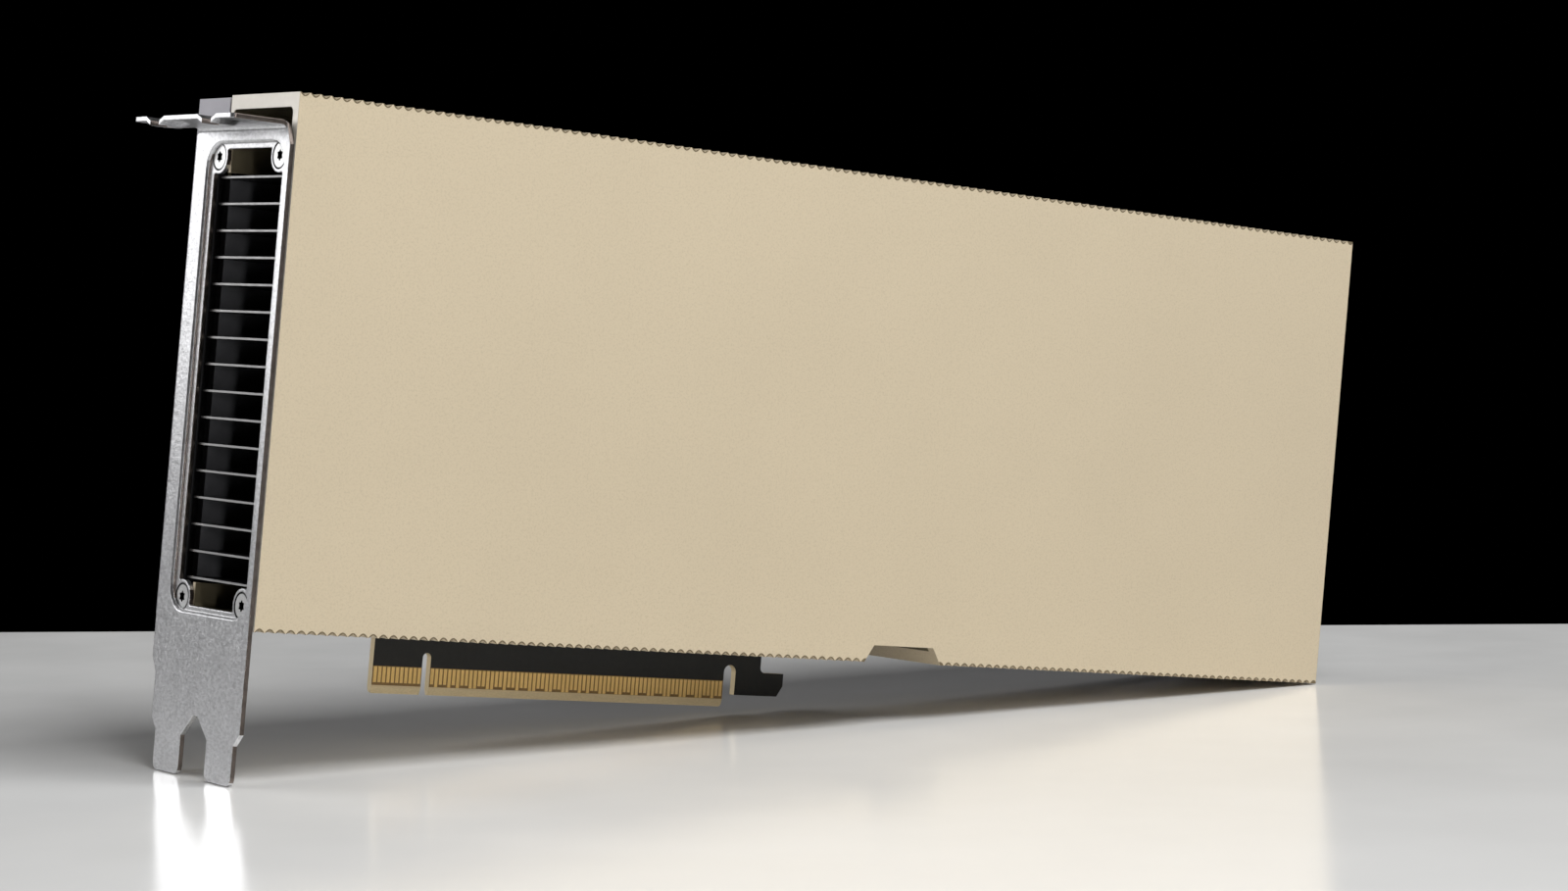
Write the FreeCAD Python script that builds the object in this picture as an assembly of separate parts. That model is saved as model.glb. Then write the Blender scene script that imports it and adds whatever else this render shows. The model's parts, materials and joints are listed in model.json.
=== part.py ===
import FreeCAD, Part

import math
import os

# Passive two-slot accelerator card, in millimetres.
# X runs from the outer face of the slot bracket to the far end of the card,
# Y from the fin side to the circuit board side, Z up from the tips of the bracket's legs.
# The origin is on the bracket's outer face, at the tip of the leg nearest the fin side.

V = FreeCAD.Vector

# ---- Card and shroud ----
CARD_LENGTH = 267.7            # bracket face to far end
SHROUD_START = 1.15            # end face behind the bracket sheet
SHROUD_FRONT_Y = -7.2          # outer face of the broad wall
SHROUD_DEPTH = 25.7            # broad wall to the free edge of the channel
SHROUD_BOTTOM = 28.35
SHROUD_HEIGHT = 98.25
FRONT_WALL = 2.0
SIDE_WALL = 2.7                # top and bottom walls
CHANNEL_RADIUS = 1.1
LIP_THICKNESS = 1.0
LIP_TO_FINS = 0.6
LIP_PAD_THICKNESS = 2.2        # lip thickened where a screw bites
LIP_PAD_LENGTH = 7.0
FLUTE_PITCH = 2.17
FLUTE_WIDTH = 1.7
FLUTE_DEPTH = 0.5
FLUTE_FLATS = 2                # flat faces that stand for each flute's arc
FLUTE_TO_NOTCH = 0.4
NOTCH_START = 141.0
NOTCH_LENGTH = 19.7
NOTCH_HEIGHT = 3.45
NOTCH_RUN = 2.2                # horizontal run of each slanted end
NOTCH_ROOF = 1.6               # wall kept above the notch
NOTCH_PAD_MARGIN = 2.0
BOSS_WEB = 2.4
WALL_BITE = 0.5                # how far a web runs into the wall that carries it
FAR_BOSS_LENGTH = 8.0          # bosses for a support bracket at the far end
FAR_BOSS_INSET = 3.2           # boss centre from the channel's top and bottom
FAR_HOLE_RADIUS = 1.25
FAR_HOLE_DEPTH = 6.5

# ---- Slot bracket ----
SLOT_PITCH = 20.32
SHEET = 0.86
LEG_WIDTH = 10.19
LEG_STRAIGHT = 7.4             # height at which the legs start to widen
LEG_TIP_RADIUS = 1.6
SHOULDER_REACH = 1.85
SHOULDER_RISE = 2.2
CROTCH_HEIGHT = 11.4
CROTCH_WIDTH = 1.7
CROTCH_RADIUS = 0.7
NEAR_EDGE_REACH = 2.1          # flange beyond the near leg
FAR_EDGE_REACH = 3.55          # flange beyond the far leg
FAR_STEP_Z = 18.0
FAR_STEP_RISE = 2.9
TAB_DROP = 5.25                # top face of the bent tab below the top of the shroud
TAB_DEPTH = 11.2
TAB_NEAR_Y = -5.35
TAB_FAR_Y = 33.4
TAB_CORNER_RADIUS = 1.2
NEAR_CORNER_DROP = 4.4         # height over which the flange narrows to the tab
FAR_CORNER_DROP = 2.4
FAR_CORNER_RUN = 0.6
BEND_INSIDE_RADIUS = 0.95
NOTCH_OFFSET_Y = 4.45          # screw notch beside its leg's centre line
NOTCH_SCREW_X = 8.7            # screw centre in front of the bracket face
TAB_NOTCH_WIDTH = 3.4
DIMPLE_RADIUS = 4.3
DIMPLE_FLOOR_RADIUS = 3.0
DIMPLE_DEPTH = 0.8
DIMPLE_SIDES = 24              # flat faces that stand for the round of a dimple
DISH_DEPTH = 0.8
DISH_RADIUS = 4.6
DISH_MARGIN_Y = 1.5            # dished floor outside the window
DISH_MARGIN_Z = 0.95
DISH_WALL = 0.45
DISH_RELIEF = 0.1
DISH_MOUTH_CHAMFER = 0.4

# ---- Bracket screws and the vent window they surround ----
VENT_CENTRE_Y = 9.35
SCREW_SPACING_Y = 23.1
LOW_SCREW_INSET = 4.35         # screw centres from the bottom and top of the shroud
HIGH_SCREW_INSET = 11.5
WINDOW_PAST_SCREW_Y = 1.55
WINDOW_PAST_SCREW_Z = 1.45
EAR_RADIUS = 3.2
EAR_FLATS = 8                  # flat faces that stand for the round of an ear
EAR_BLEND = 0.5
BRACKET_SCREW_RADIUS = 1.25
BRACKET_SCREW_LENGTH = 5.0
BRACKET_SCREW_TIP_GAP = 0.5
FLAT_HEAD_RADIUS = 2.35
FLAT_HEAD_SINK = 0.06
RECESS_TIP = 0.5               # six-lobe recess, as shares of the head's radius
RECESS_WAIST = 0.34
RECESS_DEPTH = 0.7
RECESS_LOBES = 6
BOSS_RADIUS = 2.75

# ---- Heatsink ----
FIN_PITCH = 5.0
FIN_THICKNESS = 0.4
FIN_START = 2.3
FIN_TO_BOSS = 0.7              # least space between the stack and the screw bosses
FIN_TO_WALL = 0.3
FIN_HEIGHT = 27.3
BASE_START = 4.35
BASE_THICKNESS = 2.0
BASE_MARGIN = 0.2
HEATSINK_TO_PINS = 0.93        # heatsink to the nearest pins of the power inlet

# ---- Board, processor package and what stands on the board ----
DIE_THICKNESS = 0.75
PASTE_THICKNESS = 0.15
SUBSTRATE_THICKNESS = 2.25
BOARD_THICKNESS = 1.57
BOARD_START = 7.2
BOARD_END_GAP = 0.6
BOARD_INSET_Z = 8.25           # board edges from the back frame's outside
TONGUE_START = 47.1
TONGUE_BOTTOM = 15.45
CONTACT_PITCH = 1.0
FIRST_CONTACT = 0.64           # centre of the first contact from the tongue's start
CONTACTS_BEFORE_KEY = 11
CONTACT_COUNT = 82
KEY_CONTACTS = 2               # contact places taken up by the key notch
KEY_WIDTH = 1.9
KEY_TOP = 23.8
HOOK_NOTCH_WIDTH = 3.0
HOOK_NOTCH_TOP = 24.2
HOOK_LENGTH = 12.4
HOOK_BOTTOM = 18.0
HOOK_TOP = 22.8
HOOK_CHAMFER = 1.4
HOOK_CHAMFER_RISE = 2.2
HOOK_NECK = 6.3
HOOK_INNER_RADIUS = 1.2
TONGUE_BEVEL = 0.45
TONGUE_BEVEL_RISE = 1.3
TONGUE_CORNER = 0.6
CONTACT_WIDTH = 0.7
CONTACT_FOIL = 0.05
CONTACT_TOP = 20.76
CONTACT_BOTTOM = 17.65
GROUND_CONTACT_BOTTOM = 17.15  # the ground contacts reach further down
PACKAGE_X = 118.0
PACKAGE_ABOVE_VENT = 2.0       # package centre above the middle of the vent
SUBSTRATE_SIDE = 55.0
DIE_LENGTH = 26.0
DIE_HEIGHT = 33.0
STACKS_PER_SIDE = 3
STACK_LENGTH = 8.0
STACK_HEIGHT = 10.6
STACK_GAP = 0.4
STIFFENER_WIDTH = 3.0
STIFFENER_THICKNESS = 0.6
INDUCTOR_SIZE = (10.0, 2.85, 6.5)
INDUCTOR_PITCH = 7.4
INDUCTORS_PER_BANK = 8
BANK_OFFSET = 52.0             # inductor bank from the package's centre
POWER_STAGE_SIZE = (5.0, 0.9, 6.0)
POWER_STAGE_OFFSET = 62.0
BULK_CAPACITOR_SIZE = (7.3, 2.8, 4.3)
BULK_CAPACITOR_PITCH = 7.4
BULK_CAPACITOR_COUNT = 8
BULK_CAPACITOR_INSET = 50.0    # from the far end of the board
CERAMIC_SIZE = (1.6, 1.6, 3.2)
CERAMIC_OFFSET = 32.0
CERAMIC_PITCH = 6.0
CERAMICS_PER_COLUMN = 9
REAR_CERAMIC_SIZE = (1.6, 0.8, 0.9)
REAR_CERAMIC_PITCH = 5.0
REAR_CERAMIC_ROWS = 3
CONTROL_CHIP_SIZE = (7.0, 0.9, 7.0)
CONTROL_CHIP_PITCH = 20.0
CONTROL_CHIP_COUNT = 3
CONTROL_CHIP_INSET = 38.0
INPUT_CHOKE_SIZE = (10.0, 2.85, 11.0)
INPUT_CHOKE_INSET = 25.0
SMALL_PARTS_X = 32.0
SMALL_PARTS_PITCH = 20.0
MANAGER_CHIP_SIZE = (12.0, 1.2, 12.0)
FIRMWARE_CHIP_SIZE = (5.0, 1.4, 6.0)
CRYSTAL_SIZE = (5.0, 1.1, 3.2)

# ---- Back frame ----
FRAME_GAP = 0.56               # shadow line between the shroud and the frame
FRAME_END_GAP = 0.8
FRAME_STEP = 0.4               # frame set in from the shroud's top and bottom faces
FRAME_WALL = 2.4
FRAME_END_WALL = 2.0
FRAME_BACK = 1.4
FRAME_BACK_GAP = 1.08          # board to the frame's back wall
FRAME_EDGE_CHAMFER = 0.3
END_WALL_TO_BASE = 0.4
TONGUE_SLOT_CLEARANCE = 0.5
POST_SIDE = 4.8

# ---- Fasteners inside and on the back ----
ROUND_SIDES = 8                # flat faces that stand for the round of a small screw's shank
HEAD_SIDES = 14                # the same for a screw head that shows
SCREW_CLEARANCE = 0.15
BOARD_SCREW_RADIUS = 1.0
BOARD_HEAD_RADIUS = 1.9
BOARD_HEAD_HEIGHT = 1.2
BOARD_SCREW_INSET_X = 9.0
BOARD_SCREW_INSET_Z = 3.2
BOARD_SCREW_TIP_GAP = 0.3
SHROUD_SCREW_INSET_X = 16.0    # from the frame's ends
SHROUD_SCREW_INSET_Z = 4.4
TOP_SHROUD_SCREWS = 4
MIDDLE_SCREW_PAST_HOOK = 23.2  # middle screw of the bottom row
SHROUD_SCREW_RADIUS = 1.25
SHROUD_SCREW_BITE = 1.8
SHROUD_HEAD_RADIUS = 2.3
SHROUD_HEAD_HEIGHT = 1.3
SHROUD_HEAD_SINK = 0.1         # head below the back of the frame
SINK_SCREW_SPACING_X = 76.0
SINK_SCREW_SPACING_Z = 60.0
SINK_SCREW_RADIUS = 1.25
SINK_SCREW_BITE = 1.4
SINK_HEAD_RADIUS = 2.6
SINK_HEAD_HEIGHT = 1.3
SINK_HEAD_CLEARANCE = 0.6
WASHER_THICKNESS = 0.5
FILM_THICKNESS = 0.25
FILM_MARGIN = 1.5

# ---- Power inlet at the far end ----
INLET_BELOW_BOARD_TOP = 21.0   # inlet centre
INLET_PITCH = 4.2
INLET_COLUMNS = 4
INLET_ROWS = 2
INLET_CELL = 3.7
INLET_RIM = 0.85
INLET_LENGTH = 13.0
INLET_CELL_DEPTH = 10.4
INLET_RECESS = 0.6             # mouth behind the frame's end
PIN_SIDE = 1.14
PIN_SHORT = 3.0                # pin tip behind the mouth
PIN_TAIL_STEP = 1.9
PIN_TAIL_LENGTH = 0.5          # tail beyond the board
PIN_HOLE_CLEARANCE = 0.15
LATCH_WIDTH = 4.0
LATCH_HEIGHT = 1.0
LATCH_LENGTH = 3.0
LATCH_SETBACK = 1.0

CORNER_STEP = 18.0             # degrees turned by each flat of a rounded corner
OVERLAP = 0.1                  # how far joined shapes run into each other
PAST = 1.0                     # how far a cutter runs past what it cuts

# ---- Places worked out from the sizes above ----
SHROUD_TOP = SHROUD_BOTTOM + SHROUD_HEIGHT
SHROUD_BACK_Y = SHROUD_FRONT_Y + SHROUD_DEPTH
CHANNEL_FRONT_Y = SHROUD_FRONT_Y + FRONT_WALL
CHANNEL_BOTTOM = SHROUD_BOTTOM + SIDE_WALL
CHANNEL_TOP = SHROUD_TOP - SIDE_WALL
LIP_FRONT_Y = SHROUD_BACK_Y - LIP_THICKNESS
NOTCH_END = NOTCH_START + NOTCH_LENGTH

TAB_TOP = SHROUD_TOP - TAB_DROP
SCREW_YS = (VENT_CENTRE_Y - SCREW_SPACING_Y / 2, VENT_CENTRE_Y + SCREW_SPACING_Y / 2)
SCREW_ZS = (SHROUD_BOTTOM + LOW_SCREW_INSET, SHROUD_TOP - HIGH_SCREW_INSET)
SCREW_SPACING_Z = SCREW_ZS[1] - SCREW_ZS[0]
VENT_CENTRE_Z = (SCREW_ZS[0] + SCREW_ZS[1]) / 2
WINDOW_HALF_Y = SCREW_SPACING_Y / 2 + WINDOW_PAST_SCREW_Y
WINDOW_HALF_Z = SCREW_SPACING_Z / 2 + WINDOW_PAST_SCREW_Z
DISH_HALF_Y = WINDOW_HALF_Y + DISH_MARGIN_Y
DISH_HALF_Z = WINDOW_HALF_Z + DISH_MARGIN_Z
DISH_BACK_X = DISH_DEPTH + SHEET
BRACKET_BOSS_END = DISH_DEPTH + BRACKET_SCREW_LENGTH

FIN_ROOM = SCREW_SPACING_Z - 2 * (BOSS_RADIUS + FIN_TO_BOSS)
FIN_COUNT = int((FIN_ROOM - FIN_THICKNESS) / FIN_PITCH) + 1
FIN_SPAN = (FIN_COUNT - 1) * FIN_PITCH + FIN_THICKNESS
FINS_BOTTOM = VENT_CENTRE_Z - FIN_SPAN / 2
FINS_TOP = VENT_CENTRE_Z + FIN_SPAN / 2
FIN_FRONT_Y = CHANNEL_FRONT_Y + FIN_TO_WALL
BASE_FRONT_Y = FIN_FRONT_Y + FIN_HEIGHT
BASE_BACK_Y = BASE_FRONT_Y + BASE_THICKNESS

DIE_FRONT_Y = BASE_BACK_Y + PASTE_THICKNESS
SUBSTRATE_FRONT_Y = DIE_FRONT_Y + DIE_THICKNESS
BOARD_FRONT_Y = SUBSTRATE_FRONT_Y + SUBSTRATE_THICKNESS
BOARD_BACK_Y = BOARD_FRONT_Y + BOARD_THICKNESS

FRAME_START = SHROUD_START
FRAME_END = CARD_LENGTH - FRAME_END_GAP
FRAME_FRONT_Y = SHROUD_BACK_Y + FRAME_GAP
FRAME_INNER_Y = BOARD_BACK_Y + FRAME_BACK_GAP
FRAME_BACK_Y = FRAME_INNER_Y + FRAME_BACK
FRAME_BOTTOM = SHROUD_BOTTOM + FRAME_STEP
FRAME_TOP = SHROUD_TOP - FRAME_STEP
BOARD_END = FRAME_END - FRAME_END_WALL - BOARD_END_GAP
BOARD_BOTTOM = FRAME_BOTTOM + BOARD_INSET_Z
BOARD_TOP = FRAME_TOP - BOARD_INSET_Z
INLET_MOUTH = FRAME_END - INLET_RECESS
LAST_PIN_X = INLET_MOUTH - INLET_LENGTH - INLET_ROWS * PIN_TAIL_STEP
HEATSINK_END = LAST_PIN_X - PIN_SIDE / 2 - HEATSINK_TO_PINS
INLET_CENTRE_Z = BOARD_TOP - INLET_BELOW_BOARD_TOP
PACKAGE_Z = VENT_CENTRE_Z + PACKAGE_ABOVE_VENT
TONGUE_END = TONGUE_START + 2 * FIRST_CONTACT + (CONTACT_COUNT + KEY_CONTACTS - 1) * CONTACT_PITCH
HOOK_START = TONGUE_END + HOOK_NOTCH_WIDTH
HOOK_END = HOOK_START + HOOK_LENGTH
KEY_CENTRE = TONGUE_START + FIRST_CONTACT + (CONTACTS_BEFORE_KEY + 0.5) * CONTACT_PITCH


def box(x, y, z):
    """A block between the two limits given for each axis."""
    return Part.makeBox(x[1] - x[0], y[1] - y[0], z[1] - z[0], V(x[0], y[0], z[0]))


def rod_x(x, y, z, radius):
    return Part.makeCylinder(radius, x[1] - x[0], V(x[0], y, z), V(1, 0, 0))


def rod_y(x, y, z, radius):
    return Part.makeCylinder(radius, y[1] - y[0], V(x, y[0], z), V(0, 1, 0))


def face(corners):
    return Part.Face(Part.makePolygon(corners + corners[:1]))


def prism(corners, direction):
    """A flat outline raised along a direction."""
    return face(corners).extrude(direction)


def prism_x(points, x):
    """A flat outline given as (y, z) points, raised along X."""
    return prism([V(x[0], y, z) for y, z in points], V(x[1] - x[0], 0, 0))


def prism_y(points, y):
    """A flat outline given as (x, z) points, raised along Y."""
    return prism([V(x, y[0], z) for x, z in points], V(0, y[1] - y[0], 0))


def around(u, v, radius, sides=ROUND_SIDES):
    """Corners of a many-sided shape that stands for a small circle."""
    turns = [2 * math.pi * (i + 0.5) / sides for i in range(sides)]
    return [(u + radius * math.cos(a), v + radius * math.sin(a)) for a in turns]


def stud_x(x, y, z, radius):
    """A small round post or hole, made of a few flat faces to keep the model light."""
    return prism_x(around(y, z, radius), x)


def stud_y(x, y, z, radius, sides=ROUND_SIDES):
    return prism_y(around(x, z, radius, sides), y)


def tapered(rings):
    """A solid between two rings with the same number of corners."""
    first, last = rings
    sides = [face([first[i - 1], first[i], last[i], last[i - 1]]) for i in range(len(first))]
    return Part.makeSolid(Part.makeShell(sides + [face(ring) for ring in rings]))


def corner_rounded(points, radii):
    """An outline with some corners rounded by short flats; radii gives a radius for a corner's number."""
    rounded = []
    for i, (u, v) in enumerate(points):
        if i not in radii:
            rounded.append((u, v))
            continue
        ways = [V(a - u, b - v, 0).normalize() for a, b in (points[i - 1], points[(i + 1) % len(points)])]
        half = ways[0].getAngle(ways[1]) / 2
        radius = radii[i]
        centre = (ways[0] + ways[1]).normalize() * (radius / math.sin(half))
        start, end = [way * (radius / math.tan(half)) - centre for way in ways]
        first = math.atan2(start.y, start.x)
        turn = (math.atan2(end.y, end.x) - first + math.pi) % (2 * math.pi) - math.pi
        flats = math.ceil(math.degrees(abs(turn)) / CORNER_STEP)
        for k in range(flats + 1):
            angle = first + turn * k / flats
            rounded.append((u + centre.x + radius * math.cos(angle), v + centre.y + radius * math.sin(angle)))
    return rounded


def fused(shapes):
    """One clean solid from shapes that overlap or share a face."""
    return shapes[0].multiFuse(list(shapes[1:])).removeSplitter()


def cut_all(shape, tools):
    return shape.cut(Part.makeCompound(tools))


def edges_along(shape, axis):
    """The straight edges of a shape that run along one axis."""
    lines = [e for e in shape.Edges if e.Curve.TypeId == "Part::GeomLine"]
    return [e for e in lines if abs(e.tangentAt(e.FirstParameter).dot(axis)) > 0.999]


def near(value, other):
    return abs(value - other) < 0.01


def rounded_at(solid, axis, radius, wanted):
    """Round the edges along one axis whose middle point is wanted."""
    return solid.makeFillet(radius, [e for e in edges_along(solid, axis) if wanted(e.CenterOfMass)])


def rounded_x(half_y, half_z, x, radius):
    """A block centred on the vent, with its four long edges rounded."""
    signs = ((-1, -1), (1, -1), (1, 1), (-1, 1))
    corners = [(VENT_CENTRE_Y + a * half_y, VENT_CENTRE_Z + b * half_z) for a, b in signs]
    return prism_x(corner_rounded(corners, {i: radius for i in range(len(corners))}), x)


def centred_row(count, pitch, centre):
    return [centre + (i - (count - 1) / 2) * pitch for i in range(count)]


# ---- Bracket screws ----
def at_bracket_screws(make):
    """What make(y, z) gives for each of the four bracket screws."""
    return [make(y, z) for y in SCREW_YS for z in SCREW_ZS]


def flat_screw_x(y, z, head_x, tip_x, clearance):
    """A flat-head screw along X, grown sideways by a clearance."""
    head = FLAT_HEAD_RADIUS + clearance
    shank = BRACKET_SCREW_RADIUS + clearance
    ends = ((head_x, head), (head_x + head - shank, shank))
    cone = tapered([[V(x, a, b) for a, b in around(y, z, radius, HEAD_SIDES)] for x, radius in ends])
    return fused([cone, stud_x((head_x + OVERLAP, tip_x), y, z, shank)])


def bracket_screw_hole(y, z):
    return flat_screw_x(y, z, DISH_DEPTH, BRACKET_BOSS_END + BRACKET_SCREW_TIP_GAP, SCREW_CLEARANCE)


def six_lobe_recess(y, z):
    """The six-lobe drive recess in a bracket screw's head."""
    points = []
    for i in range(2 * RECESS_LOBES):
        radius = FLAT_HEAD_RADIUS * (RECESS_WAIST if i % 2 else RECESS_TIP)
        angle = math.pi * i / RECESS_LOBES
        points.append((y + radius * math.sin(angle), z + radius * math.cos(angle)))
    return prism_x(points, (0, DISH_DEPTH + FLAT_HEAD_SINK + RECESS_DEPTH))


def bracket_screw(y, z):
    screw = flat_screw_x(y, z, DISH_DEPTH + FLAT_HEAD_SINK, BRACKET_BOSS_END, 0)
    return screw.cut(six_lobe_recess(y, z))


def make_bracket_screws():
    """Four flat-head screws through the ears of the dished panel."""
    return Part.makeCompound(at_bracket_screws(bracket_screw))


def dish_relief():
    """The space that the back of the bracket's dished panel takes in the pieces behind it."""
    grown = DISH_WALL + DISH_RELIEF
    return rounded_x(DISH_HALF_Y + grown, DISH_HALF_Z + grown, (0, DISH_BACK_X), DISH_RADIUS + grown)


# ---- Shroud ----
def flute_centres():
    """Groove centres along a long edge, counted from the bracket end."""
    count = int((CARD_LENGTH - SHROUD_START) / FLUTE_PITCH)
    return [SHROUD_START + (i + 0.5) * FLUTE_PITCH for i in range(count)]


def flute_points(centre, z, inward):
    """Points along the arc of one groove, sunk from height z; inward is 1 or -1."""
    radius = ((FLUTE_WIDTH / 2) ** 2 + FLUTE_DEPTH ** 2) / (2 * FLUTE_DEPTH)
    half_turn = math.asin(FLUTE_WIDTH / 2 / radius)
    turns = [half_turn * (2 * i / FLUTE_FLATS - 1) for i in range(FLUTE_FLATS + 1)]
    rise = radius - FLUTE_DEPTH
    return [(centre + radius * math.sin(a), z + inward * (radius * math.cos(a) - rise)) for a in turns]


def shroud_outline():
    """The shroud seen along Y: scalloped top and bottom edges, with the notch in the lower one."""
    centres = flute_centres()
    before = [c for c in centres if c + FLUTE_WIDTH / 2 < NOTCH_START - FLUTE_TO_NOTCH]
    after = [c for c in centres if c - FLUTE_WIDTH / 2 > NOTCH_END + FLUTE_TO_NOTCH]
    roof = SHROUD_BOTTOM + NOTCH_HEIGHT
    points = [(SHROUD_START, SHROUD_BOTTOM)]
    for centre in before:
        points += flute_points(centre, SHROUD_BOTTOM, 1)
    points += [(NOTCH_START, SHROUD_BOTTOM), (NOTCH_START + NOTCH_RUN, roof),
               (NOTCH_END - NOTCH_RUN, roof), (NOTCH_END, SHROUD_BOTTOM)]
    for centre in after:
        points += flute_points(centre, SHROUD_BOTTOM, 1)
    points += [(CARD_LENGTH, SHROUD_BOTTOM), (CARD_LENGTH, SHROUD_TOP)]
    for centre in reversed(centres):
        points += reversed(flute_points(centre, SHROUD_TOP, -1))
    return points + [(SHROUD_START, SHROUD_TOP)]


def far_boss_places():
    """Threaded bosses in the far end, in line with the bracket screws on the fin side."""
    return [(SCREW_YS[0], CHANNEL_BOTTOM + FAR_BOSS_INSET), (SCREW_YS[0], CHANNEL_TOP - FAR_BOSS_INSET)]


def shroud_bosses():
    """Round bosses for the bracket screws and the far end, each on webs that reach a wall."""
    near_x = (SHROUD_START, BRACKET_BOSS_END + BRACKET_SCREW_TIP_GAP)
    far_x = (CARD_LENGTH - FAR_BOSS_LENGTH, CARD_LENGTH)
    front = CHANNEL_FRONT_Y - WALL_BITE
    bosses = [stud_x(near_x, SCREW_YS[0], z, BOSS_RADIUS) for z in SCREW_ZS]
    bosses += [box(near_x, (front, SCREW_YS[0]), (z - BOSS_WEB / 2, z + BOSS_WEB / 2)) for z in SCREW_ZS]
    for y, z in far_boss_places():
        bosses.append(stud_x(far_x, y, z, BOSS_RADIUS))
        bosses.append(box(far_x, (front, y), (z - BOSS_WEB / 2, z + BOSS_WEB / 2)))
        wall = CHANNEL_BOTTOM - WALL_BITE if z < VENT_CENTRE_Z else CHANNEL_TOP + WALL_BITE
        bosses.append(box(far_x, (y - BOSS_WEB / 2, y + BOSS_WEB / 2), sorted((z, wall))))
    return bosses


def lip_pads():
    """Thicker places on the lips, where the screws from the back frame bite."""
    pads = []
    for x, z in shroud_screw_places():
        low = z < VENT_CENTRE_Z
        reach = (CHANNEL_BOTTOM - WALL_BITE, FINS_BOTTOM - LIP_TO_FINS)
        if not low:
            reach = (FINS_TOP + LIP_TO_FINS, CHANNEL_TOP + WALL_BITE)
        pads.append(box((x - LIP_PAD_LENGTH / 2, x + LIP_PAD_LENGTH / 2),
                        (SHROUD_BACK_Y - LIP_PAD_THICKNESS, SHROUD_BACK_Y), reach))
    return pads


def make_shroud():
    """A channel open towards the board, with scalloped long edges and inward lips."""
    block = prism_y(shroud_outline(), (SHROUD_FRONT_Y, SHROUD_BACK_Y))
    through = (SHROUD_START - PAST, CARD_LENGTH + PAST)
    corners = ((CHANNEL_FRONT_Y, CHANNEL_BOTTOM), (LIP_FRONT_Y, CHANNEL_BOTTOM),
               (LIP_FRONT_Y, CHANNEL_TOP), (CHANNEL_FRONT_Y, CHANNEL_TOP))
    channel = prism_x(corner_rounded(corners, {i: CHANNEL_RADIUS for i in range(len(corners))}), through)
    mouth = box(through, (LIP_FRONT_Y - OVERLAP, SHROUD_BACK_Y + PAST),
                (FINS_BOTTOM - LIP_TO_FINS, FINS_TOP + LIP_TO_FINS))
    notch_pad = box((NOTCH_START - NOTCH_PAD_MARGIN, NOTCH_END + NOTCH_PAD_MARGIN),
                    (CHANNEL_FRONT_Y, LIP_FRONT_Y),
                    (SHROUD_BOTTOM, SHROUD_BOTTOM + NOTCH_HEIGHT + NOTCH_ROOF))
    shroud = block.cut(channel.cut(notch_pad)).cut(mouth)
    shroud = fused([shroud] + shroud_bosses() + lip_pads())

    holes = at_bracket_screws(bracket_screw_hole)
    holes += [shroud_screw_shank(x, z, 0) for x, z in shroud_screw_places()]
    holes += [rod_x((CARD_LENGTH - FAR_HOLE_DEPTH, CARD_LENGTH + PAST), y, z, FAR_HOLE_RADIUS)
              for y, z in far_boss_places()]
    return cut_all(shroud.cut(dish_relief()), holes)


# ---- Slot bracket ----
def bracket_outline():
    """The flat face of the bracket seen along X: two legs, shoulders, and the broad flange."""
    half = LEG_WIDTH / 2
    near_edge = -half - NEAR_EDGE_REACH
    far_edge = SLOT_PITCH + half + FAR_EDGE_REACH
    middle = SLOT_PITCH / 2
    shoulder = LEG_STRAIGHT + SHOULDER_RISE
    far_shoulder = SLOT_PITCH + half + SHOULDER_REACH
    points = [(-half, 0), (half, 0), (half, LEG_STRAIGHT), (middle - CROTCH_WIDTH / 2, CROTCH_HEIGHT),
              (middle + CROTCH_WIDTH / 2, CROTCH_HEIGHT), (SLOT_PITCH - half, LEG_STRAIGHT),
              (SLOT_PITCH - half, 0), (SLOT_PITCH + half, 0), (SLOT_PITCH + half, LEG_STRAIGHT),
              (far_shoulder, shoulder), (far_shoulder, FAR_STEP_Z), (far_edge, FAR_STEP_Z + FAR_STEP_RISE),
              (far_edge, TAB_TOP - FAR_CORNER_DROP), (far_edge - FAR_CORNER_RUN, TAB_TOP),
              (TAB_NEAR_Y, TAB_TOP), (near_edge, TAB_TOP - NEAR_CORNER_DROP),
              (near_edge, shoulder), (-half, LEG_STRAIGHT)]
    radii = {i: LEG_TIP_RADIUS for i, point in enumerate(points) if point[1] == 0}
    radii.update({i: CROTCH_RADIUS for i, point in enumerate(points) if point[1] == CROTCH_HEIGHT})
    return corner_rounded(points, radii)


def with_bend(flange):
    """The tab bent outwards at the top; it runs past the flange on the far side."""
    tab = box((-TAB_DEPTH, SHEET), (TAB_NEAR_Y, TAB_FAR_Y), (TAB_TOP - SHEET, TAB_TOP))
    flange_end = SLOT_PITCH + LEG_WIDTH / 2 + FAR_EDGE_REACH - FAR_CORNER_RUN
    free_end = box((-SHEET, SHEET + PAST), (flange_end, TAB_FAR_Y + PAST),
                   (TAB_TOP - SHEET - PAST, TAB_TOP + PAST))
    tab = rounded_at(tab, V(0, 0, 1), TAB_CORNER_RADIUS, lambda p: near(p.x, -TAB_DEPTH))

    radius = BEND_INSIDE_RADIUS
    centre_z = TAB_TOP - SHEET - radius
    whole = (TAB_NEAR_Y - PAST, TAB_FAR_Y + PAST)
    inside = box((-radius, 0), (TAB_NEAR_Y, flange_end), (centre_z, TAB_TOP - SHEET))
    inside = inside.cut(rod_y(-radius, whole, centre_z, radius))
    outside = box((-radius, SHEET + PAST), whole, (centre_z, TAB_TOP + PAST))
    outside = outside.cut(rod_y(-radius, whole, centre_z, radius + SHEET))
    return fused([flange, tab, inside]).cut(outside).cut(free_end)


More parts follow.
